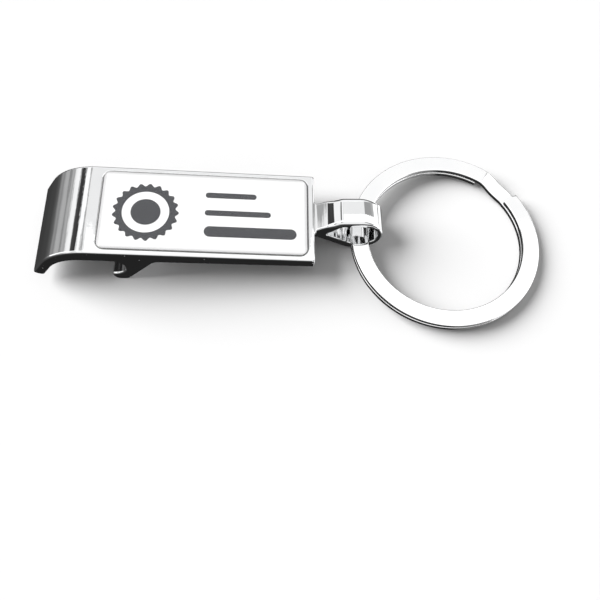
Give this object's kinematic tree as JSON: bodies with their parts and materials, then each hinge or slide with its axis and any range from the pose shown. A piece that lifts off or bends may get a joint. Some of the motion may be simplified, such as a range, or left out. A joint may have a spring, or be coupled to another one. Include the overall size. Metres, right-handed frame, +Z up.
{
  "type": "keychain bottle opener",
  "caption": "Chromed cast bottle opener with a curved claw, a cap lug and a domed label, hung from a split ring through its eye.",
  "frame": {"origin": "on the surface that the object lies on, at the centre of its footprint", "axes": "+X from the claw towards the ring, +Y across the opener away from the viewer, +Z up with the label side uppermost; the opener lies at its natural tilt of 5.5 degrees on its lug and eye"},
  "size_m": [0.0842, 0.032, 0.0102],
  "materials": {
    "body_chrome": "bright chrome plate over a polished zinc die casting",
    "adhesive": "soft pressure-sensitive adhesive, matte",
    "label_white": "white printed film",
    "clear_resin": "clear domed resin, high gloss",
    "ring_chrome": "nickel-chrome plate over flat spring-steel wire"
  },
  "bodies": {
    "opener": {"opener_body": "body_chrome", "label_adhesive": "adhesive", "label_film": "label_white", "label_dome": "clear_resin"},
    "ring": {"split_ring": "ring_chrome"}
  },
  "joints": [
    {"name": "ring_swing", "type": "hinge", "parent": "opener", "child": "ring", "pos_m": [0.0118, 0.00203, 0.0041], "axis": [0, -1, 0], "range_deg": [-170, 170]}
  ]
}
